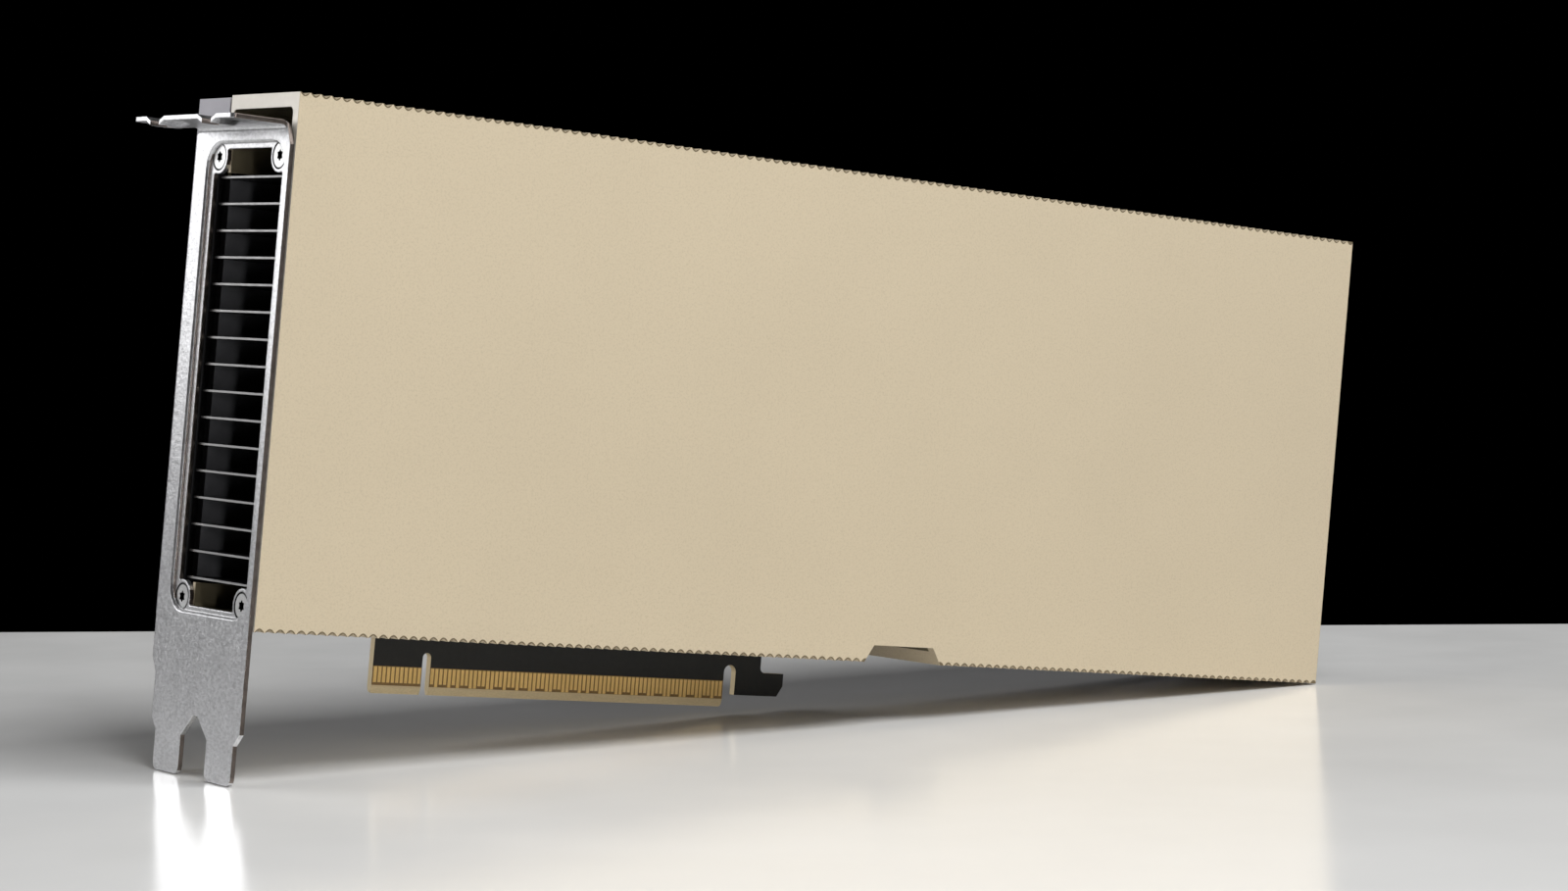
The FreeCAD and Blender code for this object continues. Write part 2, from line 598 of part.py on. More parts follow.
def window_outline():
    """The vent opening as (y, z) points: a rectangle that gives way to an ear round each screw."""
    first = -math.acos(WINDOW_PAST_SCREW_Y / EAR_RADIUS)
    last = -math.pi - math.asin(WINDOW_PAST_SCREW_Z / EAR_RADIUS)
    turns = [first + (last - first) * i / EAR_FLATS for i in range(EAR_FLATS + 1)]
    ear = [(SCREW_SPACING_Y / 2 + EAR_RADIUS * math.cos(a), SCREW_SPACING_Z / 2 + EAR_RADIUS * math.sin(a))
           for a in turns]
    outline = []
    for a, b in ((1, 1), (-1, 1), (-1, -1), (1, -1)):
        corner = [(VENT_CENTRE_Y + a * u, VENT_CENTRE_Z + b * v) for u, v in ear]
        outline += corner if a == b else corner[::-1]
    ends = [i for i in range(len(outline)) if i % len(ear) in (0, EAR_FLATS)]
    return corner_rounded(outline, {i: EAR_BLEND for i in ends})


def with_dish(sheet):
    """The panel round the window pressed back from the flange, its mouth broken by a chamfer."""
    back = rounded_x(DISH_HALF_Y + DISH_WALL, DISH_HALF_Z + DISH_WALL, (0, DISH_BACK_X),
                     DISH_RADIUS + DISH_WALL)
    hollow = rounded_x(DISH_HALF_Y, DISH_HALF_Z, (-PAST, DISH_DEPTH), DISH_RADIUS)
    sheet = fused([sheet, back]).cut(hollow)
    grown = OVERLAP / 2
    rim = rounded_x(DISH_HALF_Y + grown, DISH_HALF_Z + grown, (-grown, grown), DISH_RADIUS + grown).BoundBox
    mouth = [e for e in sheet.Edges if rim.isInside(e.BoundBox)]
    return sheet.makeChamfer(DISH_MOUTH_CHAMFER, mouth)


def tab_notch_places():
    return [(-NOTCH_SCREW_X, NOTCH_OFFSET_Y), (-NOTCH_SCREW_X, SLOT_PITCH + NOTCH_OFFSET_Y)]


def dimple(x, y, top):
    """A shallow dish that narrows downwards from the given height."""
    ends = ((top, DIMPLE_RADIUS), (top - DIMPLE_DEPTH, DIMPLE_FLOOR_RADIUS))
    return tapered([[V(a, b, z) for a, b in around(x, y, radius, DIMPLE_SIDES)] for z, radius in ends])


def with_screw_notch(sheet, x, y):
    """The tab dimpled round a screw, with a slot open to the tab's free edge."""
    low = TAB_TOP - DIMPLE_RADIUS
    high = TAB_TOP + PAST
    half = TAB_NOTCH_WIDTH / 2
    sheet = fused([sheet, dimple(x, y, TAB_TOP - SHEET)]).cut(dimple(x, y, TAB_TOP))
    bore = Part.makeCylinder(half, high - low, V(x, y, low))
    slot = box((-TAB_DEPTH - DIMPLE_RADIUS, x), (y - half, y + half), (low, high))
    reach = DIMPLE_RADIUS + PAST
    outside = box((-TAB_DEPTH - reach, -TAB_DEPTH), (y - reach, y + reach), (low, high))
    return sheet.cut(fused([slot, bore])).cut(outside)


def make_io_bracket():
    """One folded sheet: flange with legs, dished vent panel and the screw tab bent outwards."""
    flange = prism_x(bracket_outline(), (0, SHEET))
    sheet = with_bend(flange)
    window = prism_x(window_outline(), (DISH_DEPTH / 2, DISH_BACK_X + PAST))
    sheet = cut_all(with_dish(sheet).cut(window), at_bracket_screws(bracket_screw_hole))
    for x, y in tab_notch_places():
        sheet = with_screw_notch(sheet, x, y)
    return sheet


# ---- Heatsink ----
def make_heatsink_base():
    """The plate that lies on the processor and carries the fins."""
    base = box((BASE_START, HEATSINK_END), (BASE_FRONT_Y, BASE_BACK_Y),
               (FINS_BOTTOM - BASE_MARGIN, FINS_TOP + BASE_MARGIN))
    return cut_all(base, [sink_screw_shank(x, z, 0) for x, z in sink_screw_places()])


def make_heatsink_fins():
    """Full-length plate fins, one above the other."""
    zs = [FINS_BOTTOM + i * FIN_PITCH for i in range(FIN_COUNT)]
    x = (FIN_START, HEATSINK_END)
    return Part.makeCompound([box(x, (FIN_FRONT_Y, BASE_FRONT_Y), (z, z + FIN_THICKNESS)) for z in zs])


def sink_screw_places():
    """The four screws that pull the heatsink onto the processor."""
    return [(PACKAGE_X + a * SINK_SCREW_SPACING_X / 2, PACKAGE_Z + b * SINK_SCREW_SPACING_Z / 2)
            for a in (-1, 1) for b in (-1, 1)]


def sink_screw_shank(x, z, clearance):
    """From inside the heatsink's base to the washer behind the board."""
    return stud_y(x, (BASE_BACK_Y - SINK_SCREW_BITE, BOARD_BACK_Y + WASHER_THICKNESS + OVERLAP), z,
                  SINK_SCREW_RADIUS + clearance)


def make_heatsink_screws():
    """Screws headed behind the board, inside the holes of the back frame."""
    start = BOARD_BACK_Y + WASHER_THICKNESS
    head_y = (start, start + SINK_HEAD_HEIGHT)
    return Part.makeCompound([fused([sink_screw_shank(x, z, 0), stud_y(x, head_y, z, SINK_HEAD_RADIUS)])
                              for x, z in sink_screw_places()])


def make_heatsink_washers():
    """Spring washers between the board and the heatsink screws' heads."""
    y = (BOARD_BACK_Y, BOARD_BACK_Y + WASHER_THICKNESS)
    return Part.makeCompound([stud_y(x, y, z, SINK_HEAD_RADIUS).cut(sink_screw_shank(x, z, SCREW_CLEARANCE))
                              for x, z in sink_screw_places()])


# ---- Circuit board ----
def tongue_outline():
    """The card edge tongue and its hook, as (x, z) points, running up inside the frame."""
    neck = HOOK_START + HOOK_NECK
    top = BOARD_BOTTOM + PAST
    return [(TONGUE_START, TONGUE_BOTTOM), (TONGUE_END, TONGUE_BOTTOM), (TONGUE_END, HOOK_BOTTOM),
            (HOOK_END - HOOK_CHAMFER, HOOK_BOTTOM), (HOOK_END, HOOK_BOTTOM + HOOK_CHAMFER_RISE),
            (HOOK_END, HOOK_TOP), (neck, HOOK_TOP), (neck, top), (TONGUE_START, top)]


def board_drill(x, z, radius):
    return stud_y(x, (BOARD_FRONT_Y - PAST, BOARD_BACK_Y + PAST), z, radius)


def slot_cutter(start, end, top):
    """A notch with a round top, cut up into the tongue from below."""
    y = (BOARD_FRONT_Y - PAST, BOARD_BACK_Y + PAST)
    radius = (end - start) / 2
    round_top = rod_y((start + end) / 2, y, top - radius, radius)
    return fused([box((start, end), y, (0, top - radius)), round_top])


def board_screw_places():
    """Two rows of three screws that hold the board to the back frame."""
    middle = (BOARD_START + BOARD_END) / 2 + BOARD_SCREW_INSET_X
    xs = (BOARD_START + BOARD_SCREW_INSET_X, middle, BOARD_END - BOARD_SCREW_INSET_X)
    zs = (BOARD_BOTTOM + BOARD_SCREW_INSET_Z, BOARD_TOP - BOARD_SCREW_INSET_Z)
    return [(x, z) for x in xs for z in zs]


def inlet_pin_places():
    """Pins of the power inlet: the row, the distance in front of the board, and the height."""
    first_y = BOARD_FRONT_Y - INLET_RIM - INLET_CELL / 2
    zs = centred_row(INLET_COLUMNS, INLET_PITCH, INLET_CENTRE_Z)
    return [(row, first_y - row * INLET_PITCH, z) for row in range(INLET_ROWS) for z in zs]


def pin_tail_x(row):
    """Where a pin of this row turns down into the board."""
    return INLET_MOUTH - INLET_LENGTH - PIN_TAIL_STEP * (row + 1)


def pin_hole(row, z):
    side = PIN_SIDE / 2 + PIN_HOLE_CLEARANCE
    x = pin_tail_x(row)
    return box((x - side, x + side), (BOARD_FRONT_Y - PAST, BOARD_BACK_Y + PAST), (z - side, z + side))


def tongue_bevel(face_y, out):
    """What is ground off the lower edge of the tongue on one face; out points away from the board."""
    points = [(face_y + out, TONGUE_BOTTOM - PAST), (face_y - out * TONGUE_BEVEL, TONGUE_BOTTOM - PAST),
              (face_y - out * TONGUE_BEVEL, TONGUE_BOTTOM), (face_y, TONGUE_BOTTOM + TONGUE_BEVEL_RISE),
              (face_y + out, TONGUE_BOTTOM + TONGUE_BEVEL_RISE)]
    return prism_x(points, (TONGUE_START - PAST, TONGUE_END + HOOK_NOTCH_WIDTH / 2))


def make_circuit_board():
    """The board with its card edge tongue, key notch and retention hook."""
    y = (BOARD_FRONT_Y, BOARD_BACK_Y)
    tongue = prism_y(tongue_outline(), y)
    tongue = rounded_at(tongue, V(0, 1, 0), HOOK_INNER_RADIUS,
                        lambda p: near(p.x, HOOK_START + HOOK_NECK) and near(p.z, HOOK_TOP))
    tongue = rounded_at(tongue, V(0, 1, 0), TONGUE_CORNER, lambda p: near(p.z, TONGUE_BOTTOM))
    board = fused([box((BOARD_START, BOARD_END), y, (BOARD_BOTTOM, BOARD_TOP)), tongue])

    holes = [slot_cutter(KEY_CENTRE - KEY_WIDTH / 2, KEY_CENTRE + KEY_WIDTH / 2, KEY_TOP),
             slot_cutter(TONGUE_END, HOOK_START, HOOK_NOTCH_TOP),
             tongue_bevel(BOARD_FRONT_Y, -1), tongue_bevel(BOARD_BACK_Y, 1)]
    holes += [board_drill(x, z, SINK_SCREW_RADIUS + SCREW_CLEARANCE) for x, z in sink_screw_places()]
    holes += [board_drill(x, z, BOARD_SCREW_RADIUS + SCREW_CLEARANCE) for x, z in board_screw_places()]
    holes += [pin_hole(row, z) for row, _, z in inlet_pin_places()]
    return cut_all(board, holes)


# ---- Edge contacts ----
def contact_x(number):
    """Centre of a contact; the key notch takes the place of some after the first group."""
    skipped = KEY_CONTACTS if number > CONTACTS_BEFORE_KEY else 0
    return TONGUE_START + FIRST_CONTACT + (number - 1 + skipped) * CONTACT_PITCH


def ground_contacts():
    """The contacts on each side of every signal pair are grounds."""
    pair_groups = ((14, 1), (19, 3), (33, 4), (50, 8))
    firsts = [first + 4 * k for first, pairs in pair_groups for k in range(pairs)]
    return {first - 1 for first in firsts} | {first + 2 for first in firsts}


def make_contacts(y):
    """One row of gold contact fingers on the face of the tongue between the two y values."""
    grounds = ground_contacts()
    half = CONTACT_WIDTH / 2
    fingers = []
    for number in range(1, CONTACT_COUNT + 1):
        x = contact_x(number)
        bottom = GROUND_CONTACT_BOTTOM if number in grounds else CONTACT_BOTTOM
        fingers.append(box((x - half, x + half), y, (bottom, CONTACT_TOP)))
    return Part.makeCompound(fingers)


# ---- Processor package and parts on the board ----
def front_part(x, z, size, back=BOARD_FRONT_Y):
    """A block standing in front of a face, centred on x and z; size is along X, Y and Z."""
    half = (size[0] / 2, size[2] / 2)
    return box((x - half[0], x + half[0]), (back - size[1], back), (z - half[1], z + half[1]))


def front_parts(xs, zs, size, back=BOARD_FRONT_Y):
    """The same block at each crossing of the given columns and rows."""
    return Part.makeCompound([front_part(x, z, size, back) for x in xs for z in zs])


def each_side(offset):
    """Columns the same distance before and behind the processor."""
    return (PACKAGE_X - offset, PACKAGE_X + offset)


def make_processor_substrate():
    return front_part(PACKAGE_X, PACKAGE_Z, (SUBSTRATE_SIDE, SUBSTRATE_THICKNESS, SUBSTRATE_SIDE))


def make_processor_die():
    return front_part(PACKAGE_X, PACKAGE_Z, (DIE_LENGTH, DIE_THICKNESS, DIE_HEIGHT), SUBSTRATE_FRONT_Y)


def make_memory_stacks():
    """A row of memory stacks down each side of the die."""
    xs = each_side(DIE_LENGTH / 2 + STACK_GAP + STACK_LENGTH / 2)
    zs = centred_row(STACKS_PER_SIDE, STACK_HEIGHT + STACK_GAP, PACKAGE_Z)
    return front_parts(xs, zs, (STACK_LENGTH, DIE_THICKNESS, STACK_HEIGHT), SUBSTRATE_FRONT_Y)


def make_package_stiffener():
    """A flat metal frame round the edge of the substrate."""
    inner = SUBSTRATE_SIDE - 2 * STIFFENER_WIDTH
    size = (SUBSTRATE_SIDE, STIFFENER_THICKNESS, SUBSTRATE_SIDE)
    opening = (inner, STIFFENER_THICKNESS + 2 * PAST, inner)
    return front_part(PACKAGE_X, PACKAGE_Z, size, SUBSTRATE_FRONT_Y).cut(
        front_part(PACKAGE_X, PACKAGE_Z, opening, SUBSTRATE_FRONT_Y + PAST))


def make_thermal_paste():
    """The thin layer between the heatsink's base and the die with its memory."""
    length = DIE_LENGTH + 2 * (STACK_GAP + STACK_LENGTH)
    return front_part(PACKAGE_X, PACKAGE_Z, (length, PASTE_THICKNESS, DIE_HEIGHT), DIE_FRONT_Y)


def bank_zs():
    return centred_row(INDUCTORS_PER_BANK, INDUCTOR_PITCH, PACKAGE_Z)


def make_power_inductors():
    """A bank of inductors on each side of the processor."""
    return front_parts(each_side(BANK_OFFSET), bank_zs(), INDUCTOR_SIZE)


def make_power_stages():
    """One power stage beside each inductor."""
    return front_parts(each_side(POWER_STAGE_OFFSET), bank_zs(), POWER_STAGE_SIZE)


def thermal_strips(offset, size):
    """Soft strips that fill the space between a bank of parts and the heatsink's base."""
    back = BOARD_FRONT_Y - size[1]
    height = (INDUCTORS_PER_BANK - 1) * INDUCTOR_PITCH + size[2]
    return front_parts(each_side(offset), [PACKAGE_Z], (size[0], back - BASE_BACK_Y, height), back)


def make_bulk_capacitors():
    zs = centred_row(BULK_CAPACITOR_COUNT, BULK_CAPACITOR_PITCH, PACKAGE_Z)
    return front_parts([BOARD_END - BULK_CAPACITOR_INSET], zs, BULK_CAPACITOR_SIZE)


def make_ceramic_capacitors():
    """Columns of ceramic capacitors close to the substrate."""
    zs = centred_row(CERAMICS_PER_COLUMN, CERAMIC_PITCH, PACKAGE_Z)
    return front_parts(each_side(CERAMIC_OFFSET), zs, CERAMIC_SIZE)


def make_rear_capacitors():
    """Small ceramic capacitors behind the processor."""
    xs = centred_row(REAR_CERAMIC_ROWS, REAR_CERAMIC_PITCH, PACKAGE_X)
    zs = centred_row(REAR_CERAMIC_ROWS, REAR_CERAMIC_PITCH, PACKAGE_Z)
    return front_parts(xs, zs, REAR_CERAMIC_SIZE, BOARD_BACK_Y + REAR_CERAMIC_SIZE[1])


def make_control_chips():
    zs = centred_row(CONTROL_CHIP_COUNT, CONTROL_CHIP_PITCH, PACKAGE_Z)
    return front_parts([BOARD_END - CONTROL_CHIP_INSET], zs, CONTROL_CHIP_SIZE)


def make_small_part(place, size):
    """One of the parts in the column near the bracket, counted from the bottom."""
    return front_part(SMALL_PARTS_X, PACKAGE_Z + place * SMALL_PARTS_PITCH, size)


def make_input_choke():
    return front_part(BOARD_END - INPUT_CHOKE_INSET, PACKAGE_Z, INPUT_CHOKE_SIZE)


# ---- Back frame ----
def shroud_screw_places():
    """Screws that draw the shroud's lips against the back frame."""
    start = FRAME_START + SHROUD_SCREW_INSET_X
    end = FRAME_END - SHROUD_SCREW_INSET_X
    step = (end - start) / (TOP_SHROUD_SCREWS - 1)
    top = [(start + i * step, FRAME_TOP - SHROUD_SCREW_INSET_Z) for i in range(TOP_SHROUD_SCREWS)]
    bottom_xs = (start, HOOK_END + MIDDLE_SCREW_PAST_HOOK, end)
    return top + [(x, FRAME_BOTTOM + SHROUD_SCREW_INSET_Z) for x in bottom_xs]


def shroud_screw_shank(x, z, clearance):
    """From inside the shroud's lip to the back of the screw's head."""
    return stud_y(x, (SHROUD_BACK_Y - SHROUD_SCREW_BITE, FRAME_BACK_Y - SHROUD_HEAD_SINK - OVERLAP), z,
                  SHROUD_SCREW_RADIUS + clearance)


def shroud_screw_head(x, z, clearance, back_y):
    seat = FRAME_BACK_Y - SHROUD_HEAD_SINK - SHROUD_HEAD_HEIGHT
    return stud_y(x, (seat, back_y), z, SHROUD_HEAD_RADIUS + clearance, HEAD_SIDES)


def make_shroud_screws():
    """Screws with flat round heads, sunk into the back of the frame."""
    back = FRAME_BACK_Y - SHROUD_HEAD_SINK
    return Part.makeCompound([fused([shroud_screw_shank(x, z, 0), shroud_screw_head(x, z, 0, back)])
                              for x, z in shroud_screw_places()])


def post(x, z, y):
    """A square post centred on a screw."""
    return box((x - POST_SIDE / 2, x + POST_SIDE / 2), y, (z - POST_SIDE / 2, z + POST_SIDE / 2))


def frame_shroud_bosses():
    """Pads that meet the shroud's lips, joined to the frame's nearest side wall."""
    bosses = []
    for x, z in shroud_screw_places():
        inward = 1 if z < VENT_CENTRE_Z else -1
        wall = FRAME_BOTTOM if inward > 0 else FRAME_TOP
        reach = sorted((wall + inward * WALL_BITE, z))
        back = FRAME_INNER_Y + OVERLAP
        bosses.append(post(x, z, (SHROUD_BACK_Y, back)))
        bosses.append(box((x - POST_SIDE / 2, x + POST_SIDE / 2), (FRAME_FRONT_Y, back), reach))
    return bosses


def frame_bracket_bosses():
    """Bosses for the two bracket screws on the board side, each joined to the frame's corner."""
    y = SCREW_YS[1]
    x = (FRAME_START, BRACKET_BOSS_END + BRACKET_SCREW_TIP_GAP)
    bosses = []
    for z, wall in zip(SCREW_ZS, (FRAME_BOTTOM + WALL_BITE, FRAME_TOP - WALL_BITE)):
        past_lip = box(x, (y - 2 * BOSS_RADIUS, SHROUD_BACK_Y), (z - BOSS_RADIUS, z + BOSS_RADIUS))
        bosses.append(stud_x(x, y, z, BOSS_RADIUS).cut(past_lip))
        bosses.append(box(x, (max(y - BOSS_RADIUS, FRAME_FRONT_Y), y + BOSS_RADIUS), sorted((z, wall))))
        bosses.append(box((x[0], x[0] + FRAME_END_WALL), (y, FRAME_INNER_Y + OVERLAP), sorted((z, wall))))
    return bosses


def make_back_frame():
    """The shallow tray behind the board: back wall, side walls, screw bosses and board posts."""
    outer = box((FRAME_START, FRAME_END), (FRAME_FRONT_Y, FRAME_BACK_Y), (FRAME_BOTTOM, FRAME_TOP))
    back_edges = [e for e in outer.Edges if near(e.CenterOfMass.y, FRAME_BACK_Y)]
    outer = outer.makeChamfer(FRAME_EDGE_CHAMFER, back_edges)
    inside = (FRAME_BOTTOM + FRAME_WALL, FRAME_TOP - FRAME_WALL)
    front = FRAME_FRONT_Y - PAST
    board_room = box((FRAME_START + FRAME_END_WALL, FRAME_END - FRAME_END_WALL),
                     (front, FRAME_INNER_Y), inside)
    air_side = box((FRAME_START - PAST, FRAME_END + PAST), (front, BASE_BACK_Y + END_WALL_TO_BASE), inside)
    frame = outer.cut(board_room).cut(air_side)
    posts = [post(x, z, (BOARD_BACK_Y, FRAME_INNER_Y + OVERLAP)) for x, z in board_screw_places()]
    frame = fused([frame] + posts + frame_shroud_bosses() + frame_bracket_bosses())

    past_board = (BOARD_FRONT_Y - TONGUE_SLOT_CLEARANCE, BOARD_BACK_Y + TONGUE_SLOT_CLEARANCE)
    tongue_slot = box((TONGUE_START - TONGUE_SLOT_CLEARANCE, HOOK_START + HOOK_NECK + TONGUE_SLOT_CLEARANCE),
                      past_board, (FRAME_BOTTOM - PAST, inside[0] + PAST))
    inlet_half = INLET_COLUMNS * INLET_PITCH / 2 + INLET_RIM + TONGUE_SLOT_CLEARANCE
    inlet_room = box((FRAME_END - FRAME_END_WALL - PAST, FRAME_END + PAST),
                     (BASE_BACK_Y, BOARD_FRONT_Y + TONGUE_SLOT_CLEARANCE),
                     (INLET_CENTRE_Z - inlet_half, INLET_CENTRE_Z + inlet_half))
    cuts = [tongue_slot, inlet_room, dish_relief()] + at_bracket_screws(bracket_screw_hole)
    for x, z in shroud_screw_places():
        cuts.append(shroud_screw_shank(x, z, SCREW_CLEARANCE))
        cuts.append(shroud_screw_head(x, z, SCREW_CLEARANCE, FRAME_BACK_Y + PAST))
    access = SINK_HEAD_RADIUS + SINK_HEAD_CLEARANCE
    cuts += [stud_y(x, (FRAME_INNER_Y - OVERLAP, FRAME_BACK_Y + PAST), z, access)
             for x, z in sink_screw_places()]
    cuts += [stud_y(x, (BOARD_BACK_Y - PAST, FRAME_INNER_Y + BOARD_SCREW_TIP_GAP), z, BOARD_SCREW_RADIUS)
             for x, z in board_screw_places()]
    return cut_all(frame, cuts)


def board_screw(x, z):
    head = stud_y(x, (BOARD_FRONT_Y - BOARD_HEAD_HEIGHT, BOARD_FRONT_Y), z, BOARD_HEAD_RADIUS)
    return fused([head, stud_y(x, (BOARD_FRONT_Y - OVERLAP, FRAME_INNER_Y), z, BOARD_SCREW_RADIUS)])


def make_board_screws():
    """Flat-topped screws through the board into the posts of the back frame."""
    return Part.makeCompound([board_screw(x, z) for x, z in board_screw_places()])


def make_insulating_film():
    """A thin sheet on the inside of the frame's back wall, cut out round posts and screws."""
    sheet = box((BOARD_START + FILM_MARGIN, BOARD_END - FILM_MARGIN),
                (FRAME_INNER_Y - FILM_THICKNESS, FRAME_INNER_Y),
                (BOARD_BOTTOM + FILM_MARGIN, BOARD_TOP - FILM_MARGIN))
    through = (FRAME_INNER_Y - PAST, FRAME_INNER_Y + PAST)
    side = POST_SIDE / 2 + SCREW_CLEARANCE
    holes = [box((x - side, x + side), through, (z - side, z + side))
             for x, z in board_screw_places() + shroud_screw_places()]
    holes += [stud_y(x, through, z, SINK_HEAD_RADIUS + SINK_HEAD_CLEARANCE) for x, z in sink_screw_places()]
    margin = PIN_SIDE + FILM_MARGIN
    reach = INLET_COLUMNS * INLET_PITCH / 2 + margin
    holes.append(box((LAST_PIN_X - margin, pin_tail_x(0) + margin), through,
                     (INLET_CENTRE_Z - reach, INLET_CENTRE_Z + reach)))
    return cut_all(sheet, holes)


# ---- Power inlet ----
def make_inlet_housing():
    """The socket block with one cell for each pin and a latch ramp on the side away from the board."""
    half = INLET_COLUMNS * INLET_PITCH / 2 + INLET_RIM - (INLET_PITCH - INLET_CELL) / 2
    outer_y = BOARD_FRONT_Y - 2 * INLET_RIM - INLET_CELL - (INLET_ROWS - 1) * INLET_PITCH
    body = box((INLET_MOUTH - INLET_LENGTH, INLET_MOUTH), (outer_y, BOARD_FRONT_Y),
               (INLET_CENTRE_Z - half, INLET_CENTRE_Z + half))
    ramp = [(INLET_MOUTH - LATCH_LENGTH, outer_y + OVERLAP),
            (INLET_MOUTH - LATCH_LENGTH, outer_y - LATCH_HEIGHT),
            (INLET_MOUTH - LATCH_SETBACK, outer_y + OVERLAP)]
    latch = prism([V(x, y, INLET_CENTRE_Z - LATCH_WIDTH / 2) for x, y in ramp], V(0, 0, LATCH_WIDTH))
    cells = []
    for _, y, z in inlet_pin_places():
        for x, side in (((INLET_MOUTH - INLET_CELL_DEPTH, INLET_MOUTH + PAST), INLET_CELL / 2),
                        ((INLET_MOUTH - INLET_LENGTH - PAST, INLET_MOUTH), PIN_SIDE / 2)):
            cells.append(box(x, (y - side, y + side), (z - side, z + side)))
    return cut_all(fused([body, latch]), cells)


def make_inlet_pins():
    """Square pins that turn down behind the block and pass through the board."""
    half = PIN_SIDE / 2
    pins = []
    for row, y, z in inlet_pin_places():
        tail = pin_tail_x(row)
        height = (z - half, z + half)
        straight = box((tail - half, INLET_MOUTH - PIN_SHORT), (y - half, y + half), height)
        down = box((tail - half, tail + half), (y - half, BOARD_BACK_Y + PIN_TAIL_LENGTH), height)
        pins.append(fused([straight, down]))
    return Part.makeCompound(pins)


NODES = {
    "shroud": make_shroud,
    "back_frame": make_back_frame,
    "io_bracket": make_io_bracket,
    "bracket_screws": make_bracket_screws,
    "shroud_screws": make_shroud_screws,
    "heatsink_base": make_heatsink_base,
    "heatsink_fins": make_heatsink_fins,
    "heatsink_screws": make_heatsink_screws,
    "heatsink_washers": make_heatsink_washers,
    "circuit_board": make_circuit_board,
    "edge_contacts_front": lambda: make_contacts((BOARD_FRONT_Y - CONTACT_FOIL, BOARD_FRONT_Y)),
    "edge_contacts_rear": lambda: make_contacts((BOARD_BACK_Y, BOARD_BACK_Y + CONTACT_FOIL)),
    "board_screws": make_board_screws,
    "processor_substrate": make_processor_substrate,
    "processor_die": make_processor_die,
    "memory_stacks": make_memory_stacks,
    "package_stiffener": make_package_stiffener,
    "thermal_paste": make_thermal_paste,
    "power_inductors": make_power_inductors,
    "inductor_thermal_pads": lambda: thermal_strips(BANK_OFFSET, INDUCTOR_SIZE),
    "power_stages": make_power_stages,
    "power_stage_pads": lambda: thermal_strips(POWER_STAGE_OFFSET, POWER_STAGE_SIZE),
    "bulk_capacitors": make_bulk_capacitors,
    "ceramic_capacitors": make_ceramic_capacitors,
    "rear_capacitors": make_rear_capacitors,
    "control_chips": make_control_chips,
    "clock_crystal": lambda: make_small_part(-1, CRYSTAL_SIZE),
    "firmware_chip": lambda: make_small_part(0, FIRMWARE_CHIP_SIZE),
    "management_chip": lambda: make_small_part(1, MANAGER_CHIP_SIZE),
    "input_choke": make_input_choke,
    "power_inlet_housing": make_inlet_housing,
    "power_inlet_pins": make_inlet_pins,
    "insulating_film": make_insulating_film,
}


os.makedirs("parts", exist_ok=True)
for node, make in NODES.items():
    make().exportStep(os.path.join("parts", node + ".step"))
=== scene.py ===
import json
import math

import bpy
from mathutils import Matrix, Vector


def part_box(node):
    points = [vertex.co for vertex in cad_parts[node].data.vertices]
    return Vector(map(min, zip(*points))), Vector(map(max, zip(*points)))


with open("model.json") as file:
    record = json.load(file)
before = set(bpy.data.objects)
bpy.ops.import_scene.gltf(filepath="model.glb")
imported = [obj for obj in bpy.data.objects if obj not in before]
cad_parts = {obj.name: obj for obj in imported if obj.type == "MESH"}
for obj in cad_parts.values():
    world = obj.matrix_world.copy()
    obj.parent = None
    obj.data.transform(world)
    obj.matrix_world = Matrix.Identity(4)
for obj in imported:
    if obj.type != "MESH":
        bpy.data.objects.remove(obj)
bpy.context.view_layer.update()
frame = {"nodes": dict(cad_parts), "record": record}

MM = 0.001

# ---- Sizes that the materials follow, in millimetres ----
SCREW_HEAD_RADIUS = 2.35
SCREW_HEAD_FACE_X = 0.86
SCREW_RECESS_REACH = 1.3          # the painted shade of the drive recess, from the screw's axis
SCREW_RECESS_START = 0.04         # behind the head's face
DISH_FACE_X = 0.79
FLUTE_PITCH = 2.17
# Half width and depth of the painted shade at each flute's mouth.
FLUTE_MOUTH_HALF = 1.0
FLUTE_MOUTH_DEPTH = 0.74
# In front of this the shroud's end face gets a painted highlight; behind it, within
# SHROUD_INSIDE, the inside gets painted shade.
SHROUD_MOUTH_X = 1.3              # the shroud's end face lies in front of this
SHROUD_INSIDE = (("Y", -5.25, 17.6), ("Z", 31.0, 124.0))
# Behind this the frame's inside, within FRAME_INSIDE, gets painted shade.
FRAME_MOUTH_X = 1.6
FRAME_INSIDE = (("Y", 0.0, 31.4), ("Z", 29.5, 125.5))
TONGUE_END_X = 131.5
MASK_LOWER_EDGE_Z = 20.9
CONTACTS_LOWER_EDGE_Z = 17.1

# ---- Stage, in metres ----
CAMERA_PLACE = Vector((-0.3404, -0.6273, 0.0665))
CAMERA_RIGHT = Vector((0.8020, -0.5912, 0.0846))
CAMERA_UP = Vector((-0.0712, 0.0460, 0.9964))
CAMERA_FORWARD = Vector((0.5930, 0.8052, 0.0052))
CAMERA_SENSOR_MM = 36.0
CAMERA_LENS_MM = 89.03
FLOOR_ALONG = Vector((0.593, 0.805, 0))
FLOOR_ACROSS = Vector((0.805, -0.593, 0))
FLOOR_CORNERS = ((-2.0, -2.5), (-2.0, 2.5), (1.10, 2.5), (0.86, -2.5))   # along, across
FLOOR_GAP = 0.0002
WORLD_SEEN = 0.0
WORLD_SOFT = 0.01
LIGHT_TARGET = (0.10, 0.0, 0.06)
LIGHTS = (                        # name, place, size, watts
    ("key", (-0.38, -1.2, 0.10), (0.06, 0.22), 2.6),
    ("front_top", (0.10, -0.66, 1.20), (0.9, 0.7), 18.5),
    ("right_soft", (0.95, -0.95, 0.80), (0.9, 0.7), 5.4),
    ("left_soft", (-0.75, 0.95, 0.52), (0.9, 0.9), 7.8),
)


